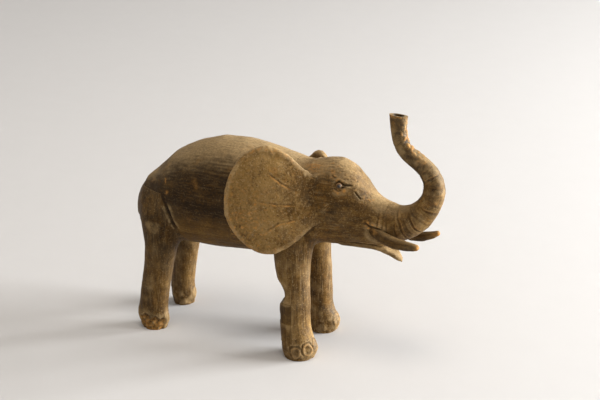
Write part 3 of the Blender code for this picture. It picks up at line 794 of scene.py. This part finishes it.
def dowel_holes(made):
    """Holes for the dowels, in the pieces that each one pins."""
    pairs = {
        "hip_dowel": ("body", "leg_rear_right", "leg_rear_left"),
        "shoulder_dowel": ("body", "leg_front_right", "leg_front_left"),
        "neck_dowel_upper": ("body", "head"),
        "neck_dowel_lower": ("body", "head"),
        "trunk_dowel": ("head", "trunk"),
        "jaw_peg": ("head", "lower_jaw"),
    }
    for dowel, pieces in pairs.items():
        for piece in pieces:
            made[piece] = combined(made[piece], cad_solid(dowel, 0.2))


# ---------------------------------------------------------------- pieces outside the skin
def tusk_mesh(name):
    mesh = refined(name, [cad_solid(name, 0.1)], 0.6, 14)
    tusk = Carver(mesh)
    here = tusk.points
    fibres = noise_at(here * (0.15, 1, 1), 0.9, 21.0)
    tusk.push(slice(None), 0.1 * noise_at(here, 4.0, 20.0) + 0.04 * fibres)
    low, high = here.min(0), here.max(0)
    tusk.settle()
    tusk.tint("bare", slice(None), 0.8 * smoothstep(high[0] - 3.0, high[0], here[:, 0]))
    return tusk.finished()


def tail_mesh():
    mesh = refined("tail", [cad_solid("tail", 0.15)], 0.6, 10)
    tail = Carver(mesh)
    here = tail.points
    hairs = noise_at(here * (1.0, 1.0, 0.12), 0.9, 22.0)
    tail.push(slice(None), 0.16 * hairs + 0.1 * noise_at(here, 3.0, 23.0))
    tail.settle()
    return tail.finished()


def eye_mesh(name, hand):
    """A bead with a cut ring round its pupil."""
    low, high = node_box(name)
    centre, radius = (low + high) / 2, (high[0] - low[0]) / 2
    stations = []
    for k in range(25):
        t = math.pi * (k + 0.5) / 25
        away = math.pi - t
        dent = 0.10 * math.exp(-(((away - 0.62) / 0.10) ** 2)) - 0.05 * math.exp(-((away / 0.35) ** 2))
        stations.append((radius * (1 - dent) * -math.cos(t), radius * (1 - dent) * math.sin(t)))
    axis = Vector((0.45, hand, 0.12)).normalized()
    mesh = lathe(name, centre, axis, stations, 40)
    points = read_points(mesh)
    turn = np.degrees(np.arccos(np.clip(((points - centre) @ np.array(axis)) / radius, -1, 1)))
    # The pupil is painted dark, and painted shade fills the cut ring round it.
    put_attribute(mesh, "grime_and_shade", smoothstep(26, 20, turn) + smoothstep(8, 3, np.abs(turn - 36)))
    put_attribute(mesh, "proud", smoothstep(6, 2, np.abs(turn - 28)))
    put_attribute(mesh, "bare", smoothstep(45, 60, turn) * 0.3)
    return mesh


# ---------------------------------------------------------------- materials
class Graph:
    """A material's nodes, added one at a time.  Lengths in the noises are in millimetres."""

    def __init__(self, name):
        self.material = bpy.data.materials.new(name)
        self.material.use_nodes = True
        self.tree = self.material.node_tree
        self.shader = self.tree.nodes["Principled BSDF"]
        place = self.node("TexCoord").outputs["Object"]
        self.place = self.node("VectorMath", {0: place, 1: (1 / MM,) * 3}, operation="MULTIPLY").outputs[0]

    def feed(self, socket, value):
        if isinstance(value, bpy.types.NodeSocket):
            self.tree.links.new(value, socket)
        else:
            socket.default_value = value

    def node(self, kind, inputs=None, **settings):
        made = self.tree.nodes.new("ShaderNode" + kind)
        for name, value in settings.items():
            setattr(made, name, value)
        for socket, value in (inputs or {}).items():
            self.feed(made.inputs[socket], value)
        return made

    def math(self, operation, a, b=0.0, clamp=False):
        return self.node("Math", {0: a, 1: b}, operation=operation, use_clamp=clamp).outputs[0]

    def stretched(self, factors, shift=(0, 0, 0)):
        longer = self.node("VectorMath", {0: self.place, 1: factors}, operation="MULTIPLY").outputs[0]
        return self.node("VectorMath", {0: longer, 1: shift}, operation="ADD").outputs[0]

    def noise(self, vector, size, detail=3.0, roughness=0.55, distortion=0.0):
        inputs = {"Vector": vector, "Scale": 1 / size, "Detail": detail, "Roughness": roughness,
                  "Distortion": distortion}
        return self.node("TexNoise", inputs).outputs[0]

    def band(self, value, low, high, to_low=0.0, to_high=1.0):
        inputs = {"Value": value, "From Min": low, "From Max": high, "To Min": to_low, "To Max": to_high}
        return self.node("MapRange", inputs, interpolation_type="SMOOTHSTEP").outputs[0]

    def layer(self, name):
        return self.node("Attribute", attribute_name=name).outputs["Fac"]

    def mix(self, factor, a, b):
        made = self.node("Mix", data_type="RGBA")
        for socket, value in ((0, factor), (6, a), (7, b)):
            if isinstance(value, tuple):
                value = (*value, 1.0)
            self.feed(made.inputs[socket], value)
        return made.outputs[2]

    def ramp(self, value, *stops):
        made = self.node("ValToRGB", {"Fac": value})
        points = made.color_ramp.elements
        while len(points) < len(stops):
            points.new(0.5)
        for point, (at, colour) in zip(points, stops):
            point.position = at
            point.color = (*colour, 1.0)
        return made.outputs["Color"]

    def total(self, *terms):
        """Weighted sum of (socket, weight) pairs."""
        value = 0.0
        for socket, weight in terms:
            part = self.math("MULTIPLY", socket, weight)
            value = self.math("ADD", part, value)
        return value


def wood(name, grain, tone=0.0, golden=0.5, dusty=0.6, fibre=1.0, crisp=1.0, top_dust_and_light=0.6, darker=None):
    """Old carved wood.

    grain is how fast the pattern runs along X, Y and Z, low along the fibres.  tone lightens the whole
    piece, golden and dusty set how much of it is stained or specked, fibre and crisp set how strong the
    grain and the mottling are, and the top weight sets pale dust and painted top light on what faces up.
    darker is an axis, two places along it in millimetres, and how much the tone falls between them.
    """
    g = Graph(name)
    fibres = g.stretched(grain)
    large = g.noise(g.place, 24, 3, 0.5)
    medium = g.noise(g.stretched((1, 1, 1), (7, 3, 5)), 6, 5, 0.62)
    fine = g.noise(g.place, 1.15, 3, 0.75)
    thread = g.noise(fibres, 1.0, 4, 0.65, 0.3)
    streak = g.noise(fibres, 4.2, 3, 0.5)
    pores = g.band(g.noise(g.stretched([v * 1.6 for v in grain], (3, 1, 8)), 0.9, 2, 0.5), 0.58, 0.70)
    weights = [crisp * w for w in (0.45, 0.5, 0.5 * fibre, 0.45, 0.55)]
    value = g.total(*zip((large, medium, thread, streak, fine), weights))
    value = g.math("ADD", value, 0.5 - sum(weights) / 2 + tone)
    if darker:
        axis, start, end, amount = darker
        along = g.node("SeparateXYZ", {0: g.place}).outputs[axis]
        value = g.math("SUBTRACT", value, g.band(along, start, end, 0.0, amount))
    colour = g.ramp(value, (0.20, UMBER), (0.50, BROWN), (0.80, TAN))
    patch = g.band(g.noise(g.stretched((1, 1, 1), (31, 7, 2)), 9, 4, 0.65), 0.56, 0.74)
    colour = g.mix(g.math("MULTIPLY", patch, golden), colour, AMBER)
    flecks = g.band(g.noise(g.stretched((1, 1, 1), (2, 9, 4)), 0.8, 2, 0.6), 0.58, 0.70)
    pale = g.band(g.noise(g.stretched([v * 1.3 for v in grain], (6, 2, 5)), 1.0, 3, 0.6), 0.54, 0.68)
    haze = g.band(g.noise(g.stretched((1, 1, 1), (5, 8, 1)), 12, 3, 0.6), 0.42, 0.66)
    upward = g.node("SeparateXYZ", {0: g.node("NewGeometry").outputs["Normal"]}).outputs[2]
    # What faces up is painted paler: dust there together with painted top light.
    top = g.math("MULTIPLY", g.band(upward, 0.44, 1.0), g.band(fine, 0.3, 0.7, 0.6, 1.0))
    dust_and_top_light = g.total((flecks, 0.5 * dusty), (pale, 0.3 * dusty), (haze, 0.14 * dusty), (top, top_dust_and_light))
    colour = g.mix(g.math("MINIMUM", dust_and_top_light, 0.9), colour, PALE_DUST_AND_LIGHT)
    proud = g.math("MULTIPLY", g.layer("proud"), g.band(medium, 0.35, 0.65, 0.15, 0.6))
    colour = g.mix(proud, colour, PALE_DUST_AND_LIGHT)
    bare = g.math("MULTIPLY", g.layer("bare"), g.band(g.noise(g.place, 1.6, 2, 0.6), 0.36, 0.56), clamp=True)
    colour = g.mix(bare, colour, GOLD)
    # The dark layer, dirt together with painted shade in hollows and cuts, and the pores darken the colour.
    dark = g.math("MAXIMUM", g.layer("grime_and_shade"), g.math("MULTIPLY", pores, 0.5))
    colour = g.mix(g.math("MULTIPLY", dark, 0.85), colour, DIRT_AND_SHADE)
    g.feed(g.shader.inputs["Base Color"], colour)
    gloss = g.band(g.total((medium, 0.6), (fine, 0.4)), 0.3, 0.7, 0.5, 0.75)
    g.feed(g.shader.inputs["Roughness"], gloss)
    g.shader.inputs["Specular IOR Level"].default_value = 0.14
    height = g.total((thread, 0.55 * fibre), (fine, 0.5), (medium, 0.5), (pores, -0.35))
    bump = g.node("Bump", {"Height": height, "Strength": 0.7, "Distance": 0.00034})
    g.feed(g.shader.inputs["Normal"], bump.outputs[0])
    return g.material


def bead(name):
    """Dark glass-like bead, dulled by dust round its pupil."""
    g = Graph(name)
    specks = g.noise(g.place, 0.5, 2, 0.6)
    colour = g.mix(g.band(specks, 0.4, 0.7), (0.040, 0.022, 0.009), (0.12, 0.065, 0.024))
    colour = g.mix(g.layer("bare"), colour, GOLD)
    colour = g.mix(g.layer("proud"), colour, (0.20, 0.13, 0.06))
    # The pupil's own dark, and the painted shade in the cut ring round it.
    colour = g.mix(g.layer("grime_and_shade"), colour, (0.006, 0.005, 0.004))
    g.feed(g.shader.inputs["Base Color"], colour)
    g.feed(g.shader.inputs["Roughness"], g.band(specks, 0.3, 0.7, 0.5, 0.7))
    bump = g.node("Bump", {"Height": specks, "Strength": 0.3, "Distance": 0.00008})
    g.feed(g.shader.inputs["Normal"], bump.outputs[0])
    return g.material


# ---------------------------------------------------------------- pieces
def add_piece(name, mesh, material, slot):
    for layer in LAYERS:
        if layer not in mesh.attributes:
            put_attribute(mesh, layer, np.zeros(len(mesh.vertices)))
    mesh.materials.clear()
    mesh.materials.append(material)
    mesh.shade_smooth()
    mesh.set_sharp_from_angle(angle=math.radians(50))
    obj = bpy.data.objects.new(name + "_carved", mesh)
    bpy.context.scene.collection.objects.link(obj)
    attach(obj, "root")
    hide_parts(name)
    return obj


def build_elephant():
    made = divided(carved_skin())
    tusks = {name: tusk_mesh(name) for name in ("tusk_right", "tusk_left")}
    eyes = {name: eye_mesh(name, hand) for name, hand in (("eye_right", -1), ("eye_left", 1))}
    for name, mesh in tusks.items():
        for piece in ("head", "trunk", "lower_jaw"):
            made[piece] = combined(made[piece], mesh)
    for mesh in eyes.values():
        made["head"] = combined(made["head"], mesh)
    hollow = bite()
    made["leg_front_right"] = combined(made["leg_front_right"], hollow)
    strip = combined(made["leg_front_right"], strip_cutter(-HAIR), "INTERSECT")
    made["leg_front_right"] = combined(made["leg_front_right"], strip_cutter(HAIR + 0.08))
    made["leg_front_right_strip"] = strip
    dowel_holes(made)
    made["tail"] = tail_mesh()
    made["body"] = combined(made["body"], made["tail"])

    flank = wood(
        "flank_wood", ALONG_X, tone=-0.02, golden=0.4, dusty=0.25, crisp=0.78, top_dust_and_light=0.88,
        darker=(2, 64, 82, 0.24),
    )
    face = wood("face_wood", ALONG_X, tone=-0.01, golden=0.4, dusty=0.6, crisp=1.1, top_dust_and_light=0.72)
    trunk = wood(
        "trunk_wood", EVERY_WAY, tone=-0.02, golden=1.0, dusty=0.28, fibre=0.6, crisp=1.15, top_dust_and_light=0.5,
        darker=(2, 100, 124, 0.16),
    )
    leg = wood("leg_wood", ALONG_Z, tone=0.0, golden=0.25, dusty=0.8, crisp=1.1)
    thigh = wood(
        "thigh_wood", ALONG_Z, tone=-0.05, golden=0.25, dusty=0.5, crisp=1.0, darker=(2, 34, 66, 0.13)
    )
    ear = wood(
        "ear_wood", EVERY_WAY, tone=0.25, golden=0.6, dusty=0.9, fibre=0.5, crisp=1.15,
        darker=(0, 2, 21, 0.24),
    )
    tusk = wood("tusk_wood", ALONG_X, tone=-0.12, golden=1.0, dusty=0.15, top_dust_and_light=0.25)
    strip_wood = wood("strip_wood", ALONG_Z, tone=-0.10, golden=0.2, dusty=0.3)
    finishes = {  # by the start of a node's name, the first that fits
        "leg_front_right_strip": (strip_wood, "strip_wood"),
        "leg_rear": (thigh, "carved_wood"),
        "leg": (leg, "carved_wood"),
        "ear": (ear, "ear_wood"),
        "tusk": (tusk, "tusk_wood"),
        "trunk": (trunk, "carved_wood"),
        "head": (face, "carved_wood"),
        "lower_jaw": (face, "carved_wood"),
        "": (flank, "carved_wood"),
    }
    for name, mesh in {**made, **tusks}.items():
        start = next(start for start in finishes if name.startswith(start))
        add_piece(name, mesh, *finishes[start])
    glass = bead("eye_bead")
    for name, mesh in eyes.items():
        add_piece(name, mesh, glass, "eye_bead")
    pale = wood("dowel_wood", ALONG_X, tone=0.25, golden=0.2)
    for name in DOWELS:
        NODES[name].data.materials.clear()
        NODES[name].data.materials.append(pale)


# ---------------------------------------------------------------- studio
def plain(name, colour, roughness):
    g = Graph(name)
    grainy = g.noise(g.place, 18, 4, 0.6)
    g.feed(g.shader.inputs["Base Color"], g.mix(grainy, colour, tuple(c * 0.965 for c in colour)))
    g.shader.inputs["Roughness"].default_value = roughness
    return g.material


def build_floor():
    """A pale sheet that runs back from under the figure and curves up behind it."""
    profile = [(PAPER_FRONT, 0.0), (PAPER_BEND, 0.0)]
    for t in np.linspace(0.1, math.pi / 2, 12):
        profile.append((PAPER_BEND + BEND_RADIUS * math.sin(t), BEND_RADIUS * (1 - math.cos(t))))
    profile.append((PAPER_BEND + BEND_RADIUS, PAPER_TOP))
    points, faces = [], []
    for y, z in profile:
        for x in (-PAPER_HALF_WIDTH, PAPER_HALF_WIDTH):
            points.append((x / MM, y / MM, z / MM))
    for row in range(len(profile) - 1):
        a = 2 * row
        faces.append((a, a + 1, a + 3, a + 2))
    mesh = new_mesh("floor", points, faces)
    mesh.shade_smooth()
    mesh.materials.append(plain("paper", PAPER, 0.9))
    obj = bpy.data.objects.new("floor", mesh)
    bpy.context.scene.collection.objects.link(obj)


def add_light(name, place, size, power, colour):
    data = bpy.data.lights.new(name, "AREA")
    data.shape = "RECTANGLE"
    data.size, data.size_y = size
    data.energy = power
    data.color = colour
    obj = bpy.data.objects.new(name, data)
    obj.location = place
    obj.rotation_mode = "QUATERNION"
    obj.rotation_quaternion = (Vector(AIM) - Vector(place)).to_track_quat("-Z", "Y")
    bpy.context.scene.collection.objects.link(obj)


def build_studio():
    """Daylight from a low window on the right, a warm lamp overhead, and light from the whole room."""
    build_floor()
    add_light("window", **WINDOW)
    add_light("lamp", **LAMP)
    world = bpy.data.worlds.new("studio")
    bpy.context.scene.world = world
    world.use_nodes = True
    background = world.node_tree.nodes["Background"]
    background.inputs["Color"].default_value = ROOM_COLOUR
    background.inputs["Strength"].default_value = ROOM_LIGHT
    bpy.context.scene.view_settings.view_transform = "Standard"


def build_camera():
    turn, tilt = math.radians(CAMERA_TURN), math.radians(CAMERA_TILT)
    back = Vector((math.sin(turn) * math.cos(tilt), -math.cos(turn) * math.cos(tilt), math.sin(tilt)))
    data = bpy.data.cameras.new("camera")
    data.lens = CAMERA_LENS
    data.sensor_width = CAMERA_SENSOR
    obj = bpy.data.objects.new("camera", data)
    obj.location = Vector(CAMERA_TARGET) + back * CAMERA_REACH
    obj.rotation_mode = "QUATERNION"
    obj.rotation_quaternion = (-back).to_track_quat("-Z", "Y")
    bpy.context.scene.collection.objects.link(obj)
    bpy.context.scene.camera = obj


build_elephant()
build_studio()
build_camera()
